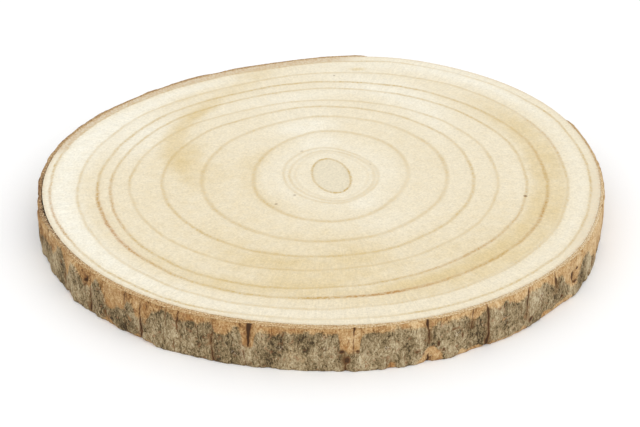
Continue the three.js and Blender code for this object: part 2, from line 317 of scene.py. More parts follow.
def draw(i, j, seed):
    """Repeatable number from 0 to 1 for a point of a lattice."""
    place = i * LATTICE.across + j * LATTICE.up + seed * LATTICE.seed
    wave = np.sin(place) * LATTICE.spread
    return wave - np.floor(wave)


def ripple(angle, z, cells, rise, seed):
    """Smooth noise from -1 to 1 over the bark, with cells round the girth and rows of a given rise."""
    u = (angle / TURN % 1) * cells
    v = z / rise
    i, j = np.floor(u), np.floor(v)
    s, t = smoothstep(u - i, 0, 1), smoothstep(v - j, 0, 1)
    lower, upper = (
        draw(i, j + k, seed) * (1 - s) + draw((i + 1) % cells, j + k, seed) * s for k in (0, 1)
    )
    return 2 * (lower * (1 - t) + upper * t) - 1


def waver(z, rise, seed):
    """Smooth noise from -1 to 1 along the height."""
    return ripple(0 * z, z, 1, rise, seed)


def between(ends, share):
    return ends[0] + (ends[1] - ends[0]) * share


def strewn(rule, seed, *names):
    """Seeded draws: angles along part of the girth, evenly paced but shifted, and a value for each name."""
    index = np.arange(rule["count"])
    step = (rule["to"] - rule["from"]) / rule["count"]
    angle = rule["from"] + (index + between(rule["shift"], draw(index, 0, seed))) * step
    return [angle] + [between(rule[name], draw(index, number, seed)) for number, name in enumerate(names, 1)]


def all_cracks():
    angle, low, high, half = strewn(REST_CRACKS, SEED.cracks, "low", "high", "half")
    return FRONT_CRACKS + list(zip(angle, THICKNESS * low, THICKNESS * high, half))


def fine_fissures():
    """Short fine fissures all round, as cracks."""
    angle, low, length, half = strewn(FISSURES, SEED.fine, "low", "length", "half")
    return zip(angle, THICKNESS * low, THICKNESS * low + length, half)


def crack_marks(angle, z, cracks):
    """How deep the surface lies in a crack, how dark it is painted, as shade in the fissure over its own
    darker inside, and how near a crack is, each from 0 to 1.
    """
    deep = np.zeros(np.broadcast(angle, z).shape)
    dark = np.zeros_like(deep)
    near = np.zeros_like(deep)
    for number, (degrees, low, high, half) in enumerate(cracks):
        path = CRACK.wander * np.sin(z / CRACK.wave + degrees)
        path = path + CRACK.waver * waver(z, CRACK.waver_rise, SEED.waver + number)
        rise = np.clip((z - low) / (high - low), 0, 1)
        opening = rise if low > THICKNESS - high else 1 - rise
        swing = 1 + CRACK.swing * waver(z, CRACK.swing_rise, SEED.waver - number)
        width = half * between(CRACK.taper, opening) * swing
        away = np.abs(on_from(degrees, angle) * GIRTH_RADIUS - path)
        along = np.clip(np.minimum(z - low, high - z) / CRACK.fade + 1, 0, 1)
        hollow = np.clip(CRACK.deep_from - away / width / CRACK.reach, 0, 1)
        deep = np.maximum(deep, half * hollow * along)
        dark = np.maximum(dark, np.clip(CRACK.dark_from - away / width, 0, 1) * along)
        near = np.maximum(near, np.clip(1 - away / CRACK.halo, 0, 1) * along)
    return deep, dark, near


def oval(angle, z, degrees, height, half_width, half_height):
    """Distance from the middle of an oval on the bark, in its own half sizes."""
    across = on_from(degrees, angle) * GIRTH_RADIUS / half_width
    return np.hypot(across, (z - height) / half_height)


def spots(angle, z, places):
    """1 in the middle of each small oval on the bark, 0 outside them."""
    return np.max([np.clip(SPOT_EDGE - oval(angle, z, *place), 0, 1) for place in places], axis=0)


def tones(angle, z):
    """Sum of the darker and paler places, below and above 0."""
    return sum(tone * np.exp(-(oval(angle, z, *place) ** FALL_OFF)) for *place, tone in BARK_TONES)


def wood_radius(angle):
    return around(WOOD_RADII, angle)


def bark_inside(angle):
    gap = DRYING_GAP.width * stretch(angle, *DRYING_GAP.reach)
    for cells, mean, swing in GAP_BEADS:
        gap = gap * (mean + swing * ripple(angle, 0 * angle, cells, 1, SEED.gap))
    return wood_radius(angle) + SEAM + gap


def bark_break(angle):
    degrees = np.degrees(angle) % 360
    begun = smoothstep(degrees, BREAK.start, BREAK.full_start)
    return begun * (1 - smoothstep(degrees, BREAK.full_end, BREAK.end))


def bark_top(angle):
    ragged = sum(height * ripple(angle, 0 * angle, cells, 1, SEED.ragged) for cells, height in RAGGED)
    return THICKNESS - BARK_SHY - bark_break(angle) * (BREAK.drop + bark_break(angle) * ragged)


def bare_marks(angle, z, top):
    """How far the grey outer bark is off, from 0 to 1: over the rim, in chips and in lower patches."""
    edges = np.array(RIM_EDGE)
    level = np.interp(np.degrees(angle), edges[:, 0], edges[:, 1], period=360) + 0 * z
    level = np.minimum(level, top - RIM.least)
    for degrees, half, drop in zip(*strewn(REST_CHIPS, SEED.chips, "half", "drop")):
        across = on_from(degrees, angle) * GIRTH_RADIUS / half
        chip = drop * np.sqrt(np.clip(1 - across**2, 0, None))
        level = np.minimum(level, top - chip - RIM.least)
    uneven = sum(
        height * ripple(angle, z, cells, rise, SEED.rim + number)
        for number, (cells, rise, height) in enumerate(RIM.uneven)
    )
    bare = smoothstep(z - level + uneven, *RIM.ramp)
    for degrees, half, height in LOWER_STRIPS:
        strip = height * stretch(angle, degrees, half) + STRIP.uneven * uneven - z
        strip = smoothstep(strip, *STRIP.ramp) * stretch(angle, degrees, half, half / 2)
        bare = np.maximum(bare, strip)
    return bare


def bark_side(angle, z, top):
    """Radius of the bark's outside, and the marks that its colours follow."""
    deep, dark, near = crack_marks(angle, z, all_cracks())
    fine_deep, fine_dark, _ = crack_marks(angle, z, fine_fissures())
    bare = bare_marks(angle, z, top)
    warped = angle + WARP.turn * ripple(angle, z, WARP.cells, WARP.rise, SEED.grain)
    fine = sum(
        height * ripple(warped, z, cells, rise, SEED.grain + cells) for cells, rise, height in FINE_RELIEF
    )
    upper = WEAR.upper * np.clip(1 - (top - z) / WEAR.rise, 0, 1) ** 2
    chamfer = LOWER_CHAMFER.depth * stretch(angle, *LOWER_CHAMFER.reach)
    lower = (WEAR.lower + chamfer) * np.clip(1 - (z - BARK_SHY) / WEAR.rise, 0, 1) ** 2
    swell = SWELL.height * ripple(angle, z, SWELL.cells, SWELL.rise, SEED.swell)
    bumps = BUMPS.height * ripple(angle, z, BUMPS.cells, BUMPS.rise, SEED.swell)
    swell = swell + bumps * stretch(angle, *BUMPS.reach)
    even = around(BARK_THICKNESS, angle)
    thickness = even + swell + fine * (1 - BARE.smoothing * bare) - upper - lower
    loss = BARE.depth * bare * smoothstep(even, *BARE.thickness)
    thickness = thickness - CRACK.depth * (deep + FISSURES["depth"] * fine_deep) - loss
    marks = {
        "crack": np.maximum.reduce([dark, FISSURES["dark"] * fine_dark, spots(angle, z, DARK_BITS)]),
        "near_crack": near,
        "bare": bare,
        # heights of the fine relief, which the bark's colour turns into painted shade in hollows and painted
        # light on crests
        "ridge": fine,
        "tone": tones(angle, z),
        "scar": spots(angle, z, SCARS),
        "rust": spots(angle, z, RUST_SPOTS),
        "cut": 0 * bare,
        "layer": 0 * bare + 1,
        "pale": stretch(angle, *PALE_RIM) + 0 * bare,
        "dried": stretch(angle, *DRYING_GAP.stained) + 0 * bare,
    }
    return bark_inside(angle) + np.maximum(BARK_LEAST, thickness), marks


def turned(angle, radius, z):
    """Points in metres from angles, radii and heights about the pith."""
    x = PITH[0] + radius * np.cos(angle)
    y = PITH[1] + radius * np.sin(angle)
    return np.stack([x, y, z + 0 * x], axis=-1) * MM


def grid_corners(columns, rows, closed):
    """Corners of the quads of a grid that closes round its columns, as unwrapped [column, row] numbers."""
    column, row = np.meshgrid(np.arange(columns), np.arange(rows if closed else rows - 1), indexing="ij")
    steps = [(0, 0), (1, 0), (1, 1), (0, 1)]
    corners = [np.stack([column + across, row + up], axis=-1).reshape(-1, 2) for across, up in steps]
    return np.stack(corners, axis=1)


def new_object(name, data):
    made = bpy.data.objects.new(name, data)
    bpy.context.scene.collection.objects.link(made)
    return made


def new_piece(name, points, faces, marks, flat, material):
    """Mesh object with its marks as attributes and a flat map for its corners."""
    mesh = bpy.data.meshes.new(name)
    mesh.from_pydata(points.tolist(), [], faces)
    for mark, values in marks.items():
        kind, field = ("FLOAT", "value") if values.ndim == 1 else ("FLOAT_VECTOR", "vector")
        attribute = mesh.attributes.new(mark, kind, "POINT")
        attribute.data.foreach_set(field, values.astype(np.float32).ravel())
    layer = mesh.uv_layers.new(name=FLAT_MAP)
    layer.uv.foreach_set("vector", flat.astype(np.float32).ravel())
    mesh.materials.append(material)
    mesh.shade_smooth()
    return new_object(name, mesh)


def in_bands(corners, columns, bands):
    """Band of a flat map that each quad lies in, and how far along the band each corner is."""
    per_band = columns // bands
    band = corners[..., 0].min(axis=1)[:, None] // per_band
    return band, corners[..., 0] / per_band - band


def bark_flat_map(corners, count):
    """Place of each corner on the flat map: the ring cut into bands, one above the other."""
    band, along = in_bands(corners, BARK_COLUMNS, BARK_BANDS)
    up = (band + between(BARK_MAP.up, corners[..., 1] / count)) / BARK_BANDS
    return np.stack([between(BARK_MAP.along, along), up], axis=-1)


def bark_piece(material):
    """Bark as a closed ring: up its outside, over the sawn edge, down beside the wood and back underneath."""
    angle = (np.arange(BARK_COLUMNS) / BARK_COLUMNS * TURN)[:, None]
    top = bark_top(angle)
    share = np.linspace(0, 1, BARK_SIDE_ROWS)[None, :]
    z_side = BARK_SHY + share * (top - BARK_SHY)
    radius_side, marks_side = bark_side(angle, z_side, top)
    inside = bark_inside(angle)

    across = np.linspace(0, 1, SAWN_ROWS)[None, 1:]
    radius_top = radius_side[:, -1:] + across * (inside - radius_side[:, -1:])
    grain = ripple(angle, SAWN.spread * across + 0 * angle, SAWN.cells, SAWN.rise, SEED.grain)
    lift = SAWN.height + SAWN.broken * bark_break(angle)
    z_top = top + lift * (grain - SAWN.sink) * np.sin(math.pi * np.clip(across, 0, SAWN.arch))
    z_top = z_top + SAWN.inner_rise * BARK_SHY * across**2 * (1 - bark_break(angle))

    down = np.linspace(0, 1, INNER_ROWS)[None, 1:]
    z_inside = z_top[:, -1:] + down * (BARK_SHY - z_top[:, -1:])
    radius_inside = inside + 0 * down

    outward = np.linspace(0, 1, UNDER_ROWS)[None, 1:-1]
    radius_under = inside + outward * (radius_side[:, :1] - inside)
    grain_under = SAWN.under * (1 + grain[:, :outward.size])
    z_under = BARK_SHY + grain_under * np.sin(math.pi * outward)

    radius = np.concatenate([radius_side, radius_top, radius_inside, radius_under], axis=1)
    z = np.concatenate([z_side, z_top, z_inside, z_under], axis=1)
    dried = marks_side["dried"][:, :1]
    dark_back = DARK_BACK.strength * stretch(angle, *DARK_BACK.reach)
    dried_top = np.maximum(dried, dark_back * (1 - across) ** DARK_BACK.fall_off)
    sawn_marks = {
        "cut": (1, 1, 1),
        "layer": (1 - across, 0, outward),
        "dried": (dried_top, dried, dried),
        "tone": (marks_side["tone"][:, -1:],) * 3,
        "pale": (marks_side["pale"][:, :1],) * 3,
    }
    marks = {}
    for mark, side in marks_side.items():
        sawn = zip(sawn_marks.get(mark, (0, 0, 0)), (radius_top, radius_inside, radius_under))
        parts = [side] + [np.broadcast_to(value, like.shape) for value, like in sawn]
        marks[mark] = np.concatenate(parts, axis=1).ravel()

    count = radius.shape[1]
    corners = grid_corners(BARK_COLUMNS, count, closed=True)
    index = (corners[..., 0] % BARK_COLUMNS) * count + corners[..., 1] % count
    points = turned(angle, radius, z).reshape(-1, 3)
    flat = bark_flat_map(corners, count)
    return new_piece("bark_skin", points, index.tolist(), marks, flat, material)


def pith_radius(angle):
    across = PITH_SHORT * np.cos(angle - PITH_LEAN)
    along = PITH_LONG * np.sin(angle - PITH_LEAN)
    return PITH_LONG * PITH_SHORT / np.hypot(across, along)


def ring_radii(angle):
    """Radii of the pith's edge and of each ring."""
    pith = pith_radius(angle)
    radii = [pith]
    for share, lean, lean_angle, twofold, twofold_angle, threefold in RINGS:
        place = share + lean * np.cos(on_from(lean_angle, angle))
        place = place + twofold * np.cos(2 * on_from(twofold_angle, angle))
        place = place + threefold * np.cos(3 * on_from(THREEFOLD_ANGLE, angle))
        radii.append(pith + place * (around(GROWTH_RADII, angle) - pith))
    return radii + [wood_radius(angle) - around(LAST_RING_INSET, angle)]


def wash(angle, share, places):
    """Sum of soft washes over the wood, each centred on an angle and a share of the radius."""
    total = 0 * share
    for degrees, half_angle, middle, half_share, strength, *slant in places:
        out = share - middle
        beside = (np.degrees(on_from(degrees, angle)) - sum(slant) * out) / half_angle
        total = total + strength * np.exp(-(np.hypot(beside, out / half_share) ** FALL_OFF))
    return total


def along_rings(angle, past_rings, places):
    """Value of each stretch of a ring's line in turn, fading off beside the line."""
    for degrees, half_angle, ring, value in places:
        near = np.exp(-((past_rings[ring] / RING_REACH) ** 2))
        yield value * near * stretch(angle, degrees, half_angle)


def wood_marks(angle, radius, bare):
    """Marks that the colours of the wood follow."""
    column = angle + 0 * radius
    share = radius / wood_radius(angle)
    past_rings = [radius - ring for ring in ring_radii(angle)]
    marks = {f"ring_{number}": values for number, values in enumerate(past_rings)}
    for number, (_, _, degrees, half_angle, strength) in enumerate(TAN_BANDS):
        marks[f"band_{number}"] = strength * stretch(angle, degrees, half_angle) + 0 * radius
    marks["red"] = np.max([0 * radius, *along_rings(angle, past_rings, RED_LINES)], axis=0)
    marks["line"] = 1 + sum(along_rings(angle, past_rings, LINE_CHANGES))
    layers = [strength * stretch(angle, *reach) for *reach, strength in LAST_LAYER]
    marks["last_layer"] = np.max(layers, axis=0) + 0 * radius
    marks["tan"] = wash(column, share, TAN_WASHES)
    marks["white"] = wash(column, share, WHITE_WASHES)
    marks["share"] = share
    marks["side"] = bare + 0 * radius
    marks["heading"] = np.stack([np.cos(column), np.sin(column), share], axis=-1)
    return marks


def wood_flat_map(points, corners, index, side_rows):
    """Place of each corner on the flat map, and of each point seen from above and from below.

    The upper face is large, the underside smaller, and the side lies in bands beside them.
    """
    spread = (points[:, :2] / MM - PITH) / WOOD_RADII.max()
    on_top = TOP_MAP.middle + TOP_MAP.half * spread
    on_under = UNDER_MAP.middle + UNDER_MAP.half * spread
    row = corners[..., 1].min(axis=1)[:, None, None]
    band, along = in_bands(corners, WOOD_COLUMNS, WOOD_BANDS)
    along = between(WOOD_SIDE_MAP.along, along)
    up = WOOD_SIDE_MAP.up + WOOD_SIDE_MAP.step * band
    up = up + WOOD_SIDE_MAP.rise * (corners[..., 1] - FACE_ROWS) / side_rows
    flat = np.where(row < FACE_ROWS, on_top[index], on_under[index])
    is_side = (row >= FACE_ROWS) & (row < FACE_ROWS + side_rows)
    return np.where(is_side, np.stack([along, up], axis=-1), flat), on_top, on_under


def wood_piece(material):
    """Wood as a disc: its upper face, a side with lightly rounded edges, and its underside."""
    angle = (np.arange(WOOD_COLUMNS) / WOOD_COLUMNS * TURN)[:, None]
    edge = wood_radius(angle)
    bend = np.linspace(0, math.pi / 2, BEND_ROWS)
    heights = np.linspace(THICKNESS, 0, WOOD_SIDE_ROWS)[1:-1]
    drop = WOOD_ROUNDING * (1 - np.cos(bend))
    z_side = np.concatenate([THICKNESS - drop, heights, drop[::-1]])
    inset = WOOD_ROUNDING * np.concatenate([1 - np.sin(bend), 0 * heights, 1 - np.sin(bend[::-1])])
    bare = (inset < WOOD_ROUNDING / 2).astype(float)
    grain = ripple(angle, z_side[None, :], SIDE_GRAIN.cells, SIDE_GRAIN.rise, SEED.grain)
    radius_side = edge - inset + SIDE_GRAIN.height * (grain - 1) * bare
    share_face = np.linspace(0, 1, FACE_ROWS + 1)[1:]
    radius_face = share_face * (edge - 2 * WOOD_ROUNDING)

    radius = np.concatenate([radius_face, radius_side, radius_face[:, ::-1]], axis=1)
    z = np.concatenate([np.full(FACE_ROWS, THICKNESS), z_side, np.zeros(FACE_ROWS)])[None, :]
    marks = wood_marks(angle, radius, np.pad(bare, FACE_ROWS)[None, :])

    rows = radius.shape[1]
    points = turned(angle, radius, z).reshape(-1, 3)
    middles = turned(np.zeros(2), np.zeros(2), np.array([THICKNESS, 0]))
    top_middle, under_middle = len(points), len(points) + 1
    points = np.concatenate([points, middles])
    middle_marks = {"ring_0": -PITH_SHORT, "heading": (0, 0, 0)}
    for mark, values in marks.items():
        flat_values = values.reshape((-1, 3) if mark == "heading" else -1)
        ends = np.array([middle_marks.get(mark, -GIRTH_RADIUS if mark.startswith("ring") else 0)] * 2)
        marks[mark] = np.concatenate([flat_values, ends])

    corners = grid_corners(WOOD_COLUMNS, rows, closed=False)[:, ::-1]
    index = (corners[..., 0] % WOOD_COLUMNS) * rows + corners[..., 1]
    first = np.arange(WOOD_COLUMNS) * rows
    after = np.roll(first, -1)
    top_fan = np.stack([np.full_like(first, top_middle), first, after], axis=1)
    under_fan = np.stack([np.full_like(first, under_middle), after + rows - 1, first + rows - 1], axis=1)
    flat, on_top, on_under = wood_flat_map(points, corners, index, len(z_side))
    flat = np.concatenate([part.reshape(-1, 2) for part in (flat, on_top[top_fan], on_under[under_fan])])
    faces = index.tolist() + top_fan.tolist() + under_fan.tolist()
    return new_piece("wood_disc", points, faces, marks, flat, material)


MIX_FACTOR, MIX_FIRST, MIX_SECOND, MIXED = 0, 6, 7, 2  # sockets of a mix node that mixes colours
THREAD_CORE = 0.2  # full part of a thread, as a share of its half width


class Paint:
    """A material whose nodes are made by short calls."""

    def __init__(self, name):
        self.material = bpy.data.materials.new(name)
        self.material.use_nodes = True
        self.tree = self.material.node_tree
        self.surface = self.tree.nodes["Principled BSDF"]

    def node(self, kind, inputs=(), **settings):
        made = self.tree.nodes.new(kind)
        for setting, value in settings.items():
            setattr(made, setting, value)
        for socket, value in dict(inputs).items():
            self.plug(made.inputs[socket], value)
        return made

    def plug(self, socket, value):
        if isinstance(value, bpy.types.NodeSocket):
            self.tree.links.new(value, socket)
        else:
            socket.default_value = value

    def math(self, operation, *values):
        return self.node("ShaderNodeMath", enumerate(values), operation=operation).outputs[0]

    def times(self, a, b):
        return self.math("MULTIPLY", a, b)

    def plus(self, a, b, amount=1.0):
        """One number with an amount of another added to it."""
        return self.math("MULTIPLY_ADD", b, amount, a)

    def smooth(self, value, ends):
        """0 on the near side of the first end, 1 past the second one, and smooth between them."""
        inputs = {"Value": value, "From Min": ends[0], "From Max": ends[1]}
        return self.node("ShaderNodeMapRange", inputs, interpolation_type="SMOOTHSTEP").outputs[0]

    def scaled(self, value, ends):
        """A number from 0 to 1 spread between two ends."""
        return self.plus(ends[0], value, ends[1] - ends[0])

    def mark(self, name, output="Fac"):
        return self.node("ShaderNodeAttribute", attribute_name=name).outputs[output]

    def vector(self, operation, a, b):
        return self.node("ShaderNodeVectorMath", {0: a, 1: b}, operation=operation).outputs[0]

    def place(self, *stretch_by):
        """Position in millimetres, with its axes multiplied where factors are given."""
        here = self.node("ShaderNodeTexCoord").outputs["Object"]
        return self.vector("MULTIPLY", here, tuple(axis / MM for axis in stretch_by or (1, 1, 1)))

    def bent(self, vector, size, reach):
        """Position pushed about by a slow noise."""
        slow = self.node("ShaderNodeTexNoise", {"Vector": vector, "Scale": 1 / size}).outputs["Color"]
        push = self.vector("MULTIPLY", self.vector("SUBTRACT", slow, (0.5,) * 3), (reach,) * 3)
        return self.vector("ADD", vector, push)

    def threads(self, vector, size, half):
        """1 on thin curling lines, 0 between them."""
        off = self.math("ABSOLUTE", self.scaled(self.noise(vector, size, 1), (-0.5, 0.5)))
        return self.smooth(off, (half, THREAD_CORE * half))

    def noise(self, vector, size, detail=2.0, roughness=0.5):
        """Noise from 0 to 1 with features of a given size."""
        inputs = {"Vector": vector, "Scale": 1 / size, "Detail": detail, "Roughness": roughness}
        return self.node("ShaderNodeTexNoise", inputs).outputs["Fac"]

    def ramp(self, value, stops):
        """Colour that runs through stops, each a place and a colour to be seen."""
        made = self.node("ShaderNodeValToRGB", {"Fac": value})
        points = made.color_ramp.elements
        while len(points) < len(stops):
            points.new(0.5)
        for point, (place, *levels) in zip(points, stops):
            point.position = place
            point.color = srgb(*levels)
        return made.outputs["Color"]

    def mix(self, factor, a, b, blend="MIX"):
        made = self.node("ShaderNodeMix", data_type="RGBA", blend_type=blend)
        for number, value in ((MIX_FACTOR, factor), (MIX_FIRST, a), (MIX_SECOND, b)):
            self.plug(made.inputs[number], value)
        return made.outputs[MIXED]

    def tint(self, colour, other, where, strength):
        """Colour mixed with another where a number from 0 to 1 says so, up to a strength."""
        return self.mix(self.times(where, strength), colour, other)

    def shade(self, colour, value):
        """Colour made lighter or darker by a number about 1."""
        grey = self.node("ShaderNodeCombineColor", {0: value, 1: value, 2: value}).outputs[0]
        return self.mix(1.0, colour, grey, "MULTIPLY")

    def bump(self, height, distance):
        inputs = {"Height": height, "Distance": distance * MM, "Strength": 1.0}
        return self.node("ShaderNodeBump", inputs).outputs["Normal"]

    def finish(self, **inputs):
        for socket, value in inputs.items():
            self.plug(self.surface.inputs[socket.replace("_", " ")], value)
        return self.material


CREAM = srgb(243, 232, 206)
WHITE = srgb(253, 249, 234)
TAN = srgb(227, 205, 156)
PITH_GREY = srgb(236, 225, 198)
LINE_TAN = srgb(197, 163, 86)
LINE_RED = srgb(182, 128, 82)
FLECK_BROWN = srgb(120, 84, 50)
INNER_TAN = srgb(190, 152, 106)
LAYER_TAN = srgb(206, 178, 140)
# Noises over the wood: size, detail, roughness
WOOD_NOISES = {
    "cloud": (24, 3), "mottle": (5, 3, 0.6), "sway": (24, 2), "tremor": (1.5, 2), "ray_places": (34, 1),
    "pores": (1, 2, 0.6), "fading": (18, 2), "speck": (1, 2, 0.65), "grain": (1, 3, 0.65),
}
# How marks and noises turn into looks: a pair is a range, and one number is a strength or a size.
# Cells and upright are factors of the axes, and a name with noise is a noise as above.
WOOD_LOOK = Values(
    sway=(-1.2, 1.2), tremor=(-0.7, 0.7), band_start=(-3, 7), band_end=(1, -2.5),
    cloud=(0.4, 1.6), mottle=(-0.3, 0.3), white=(-0.1, 1.1), tan=(-0.25, 1.15),
    ray_cells=(210, 210, 12), fibre_cells=(24, 24, 230), streak_noise=(1, 2, 0.6),
    ray_places=(0.3, 0.6), ray_share=(0.15, 0.5), rays=(-0.5, 0.5), fibres=(-0.2, 0.2),
    streaks=0.26, pith=(0.6, -0.6), pores=(0.38, 0.62), pored=(0.45, 1.55),
    fading=(0.3, 1.7), skirt_width=3, skirt=0.15, red=(0.95, 1.25),
    layer=(-0.8, 1), layer_speck=(0.36, 0.62), stain=(0.3, 1.1),
    edge=(0.986, 1), edge_speck=(0.42, 0.6), edge_tan=0.5, fleck=(1.3, 0.5),
    upright=(1, 1, 0.06), upright_noise=(1.3, 3), bare=(0.35, 0.75), bare_tan=0.6,
    grain=(0.73, 1.27), roughness=(0.55, 0.75), bump=0.03, specular=0.25,
)


def fleck_distance(paint, place, degrees, radius, half_length, half_width):
    """Distance from the middle of a fleck on the upper face, in its own half sizes."""
    turn = math.radians(degrees)
    middle = (PITH[0] + radius * math.cos(turn), PITH[1] + radius * math.sin(turn), THICKNESS)
    halves = (half_length, half_width, half_length)
    inputs = {"Vector": place, "Location": middle, "Rotation": (0, 0, turn), "Scale": halves}
    own_place = paint.node("ShaderNodeMapping", inputs, vector_type="TEXTURE").outputs[0]
    return paint.node("ShaderNodeVectorMath", {0: own_place}, operation="LENGTH").outputs["Value"]


def wood_material():
    paint = Paint("wood")
    look = WOOD_LOOK
    place = paint.place()
    noise = {name: paint.noise(place, *rule) for name, rule in WOOD_NOISES.items()}

    # Cloudy washes, and bands between rings that sway a little
    sway = paint.scaled(noise["sway"], look.sway)
    sway = paint.plus(sway, paint.scaled(noise["tremor"], look.tremor))
    past = [paint.plus(paint.mark(f"ring_{number}"), sway) for number in range(len(RING_LINES))]
    tan = paint.mark("tan")
    for number, (inner, outer, *_) in enumerate(TAN_BANDS):
        begun = paint.smooth(past[inner], look.band_start)
        band = paint.times(begun, paint.smooth(past[outer], look.band_end))
        tan = paint.plus(tan, band, paint.mark(f"band_{number}"))
    tan = paint.times(tan, paint.scaled(noise["cloud"], look.cloud))
    tan = paint.plus(tan, paint.scaled(noise["mottle"], look.mottle))
    colour = paint.mix(paint.smooth(paint.mark("white"), look.white), CREAM, WHITE)
    colour = paint.mix(paint.smooth(tan, look.tan), colour, TAN)

    # Rays that run out from the pith, and fibres that run round it
    heading = paint.mark("heading", "Vector")
    rays, fibres = (
        paint.noise(paint.vector("MULTIPLY", heading, cells), *look.streak_noise)
        for cells in (look.ray_cells, look.fibre_cells)
    )
    ray_places = paint.smooth(noise["ray_places"], look.ray_places)
    ray_places = paint.times(ray_places, paint.smooth(paint.mark("share"), look.ray_share))
    streaks = paint.times(ray_places, paint.scaled(rays, look.rays))
    streaks = paint.plus(streaks, paint.scaled(fibres, look.fibres))
    colour = paint.shade(colour, paint.plus(1.0, streaks, look.streaks))

    # Edge of the pith and ring lines, each with a soft skirt
    colour = paint.mix(paint.smooth(paint.mark("ring_0"), look.pith), colour, PITH_GREY)
    pores = paint.scaled(paint.smooth(noise["pores"], look.pores), look.pored)
    lines = 0.0
    for off, (strength, half) in zip(past, RING_LINES):
        core = paint.times(paint.smooth(paint.math("ABSOLUTE", off), (half, 0)), pores)
        inner_side = paint.smooth(off, (-look.skirt_width * half, 0))
        skirt = paint.times(inner_side, paint.smooth(off, (half, 0)))
        lines = paint.plus(lines, core, strength)
        lines = paint.plus(lines, skirt, look.skirt * strength)
    fading = paint.scaled(noise["fading"], look.fading)
    red = paint.mark("red")
    lines = paint.times(lines, paint.times(fading, paint.mark("line")))
    lines = paint.times(lines, paint.scaled(red, look.red))
    colour = paint.mix(lines, colour, paint.mix(red, LINE_TAN, LINE_RED))

    # Stained layer outside the last ring, and granular edge beside the bark
    stained = paint.times(paint.mark("last_layer"), paint.smooth(past[-1], look.layer))
    specks = paint.smooth(noise["speck"], look.layer_speck)
    colour = paint.mix(paint.times(stained, paint.scaled(specks, look.stain)), colour, LAYER_TAN)
    by_edge = paint.smooth(paint.mark("share"), look.edge)
    by_edge = paint.times(by_edge, paint.smooth(noise["speck"], look.edge_speck))
    colour = paint.tint(colour, INNER_TAN, by_edge, look.edge_tan)

    # Flecks, and the bare side of the wood with its grain upright
    for *fleck, strength in FLECKS:
        within = paint.smooth(fleck_distance(paint, place, *fleck), look.fleck)
        colour = paint.tint(colour, FLECK_BROWN, within, strength)
    upright = paint.noise(paint.place(*look.upright), *look.upright_noise)
    bare = paint.times(paint.mark("side"), paint.smooth(upright, look.bare))
    colour = paint.tint(colour, LINE_TAN, bare, look.bare_tan)

    # Fine grain of the sanded face
    return paint.finish(
        Base_Color=paint.shade(colour, paint.scaled(noise["grain"], look.grain)),
        Roughness=paint.scaled(noise["grain"], look.roughness),
        Normal=paint.bump(paint.plus(noise["grain"], rays), look.bump),
        Specular_IOR_Level=look.specular,
    )


# Colour ramps of the bark: place from dark to pale, then red, green and blue
GREY_BARK = [
    (0.3, 66, 53, 35), (0.39, 104, 88, 60), (0.46, 136, 117, 84),
    (0.54, 159, 139, 105), (0.62, 180, 162, 128), (0.72, 204, 189, 157),
]
BARE_BARK = [
    (0.3, 110, 74, 40), (0.42, 157, 116, 70), (0.5, 181, 142, 93),
    (0.6, 202, 166, 117), (0.72, 224, 195, 150),
]
SAWN_BARK = [
    (0.3, 142, 100, 58), (0.42, 186, 146, 97), (0.5, 207, 173, 124),
    (0.6, 224, 195, 149), (0.7, 241, 221, 184),
]
RUST = srgb(176, 124, 70)
RED_BROWN = srgb(156, 104, 70)
HALO_BROWN = srgb(142, 106, 68)
DRIED_BROWN = srgb(118, 86, 62)
CRACK_BROWN = srgb(116, 78, 46)
CRACK_DARK = srgb(70, 48, 29)
SCAR_DARK = srgb(80, 64, 44)
SCAR_PALE = srgb(206, 190, 166)
BARK_BEND = (4, 4)  # size, reach
# Patterns drawn out upwards: factors of the axes, then a noise as above or, for threads, size and half width
BARK_PATTERNS = {
    "swirl": [(1, 1, 0.5), 7, 4, 0.6], "fibres": [(1, 1, 0.34), 0.85, 2, 0.6],
    "dark_threads": [(1, 1, 0.3), 2.4, 0.05], "pale_threads": [(1.3, 1.3, 0.35), 2.4, 0.05],
}
BARK_NOISES = {"speck": (0.8, 2, 0.65), "ruddy": (2.4, 2), "layer": (3, 2)}
# Looks of the bark, given as those of the wood
BARK_LOOK = Values(
    swirl=(0.18, 0.82), fibres=(-0.3, 0.3), speck=(-0.2, 0.2), tone=0.09, ridge=0.09,
    dark_threads=-0.08, pale_threads=0.06, bare_pale=0.07,
    edge_swirl=(-0.8, 0.8), edge_speck=(-0.5, 0.5), edge=(0.15, 0.85),
    ruddy=(0.58, 0.72), ruddy_tint=0.4, rust_tint=0.6, patch=(0.62, 0.42),
    layer=(-0.25, 0.25), sawn_tone=0.05, sawn_level=0.05, sawn_layer=-0.08, sawn_pale=0.09,
    thin_middle=0.35, thin=(0.16, 0.02), thin_tint=0.4, dried=(0.66, 0.42), dried_tint=0.9,
    gap=(0.3, 0.12), gap_speck=(0.64, 0.44),
    scar=(0.56, 0.44), scar_tint=0.8, scar_pale=(0.55, 0.66), halo_tint=0.6,
    crack_swirl=(0.66, 0.4), crack=(0.55, 1.1), brown=(0.1, 0.5), brown_tint=0.85,
    dark=(0.4, 0.85), dark_tint=0.95,
    roughness=(0.78, 0.95), swirl_height=2, bump=0.4, specular=0.2,
)


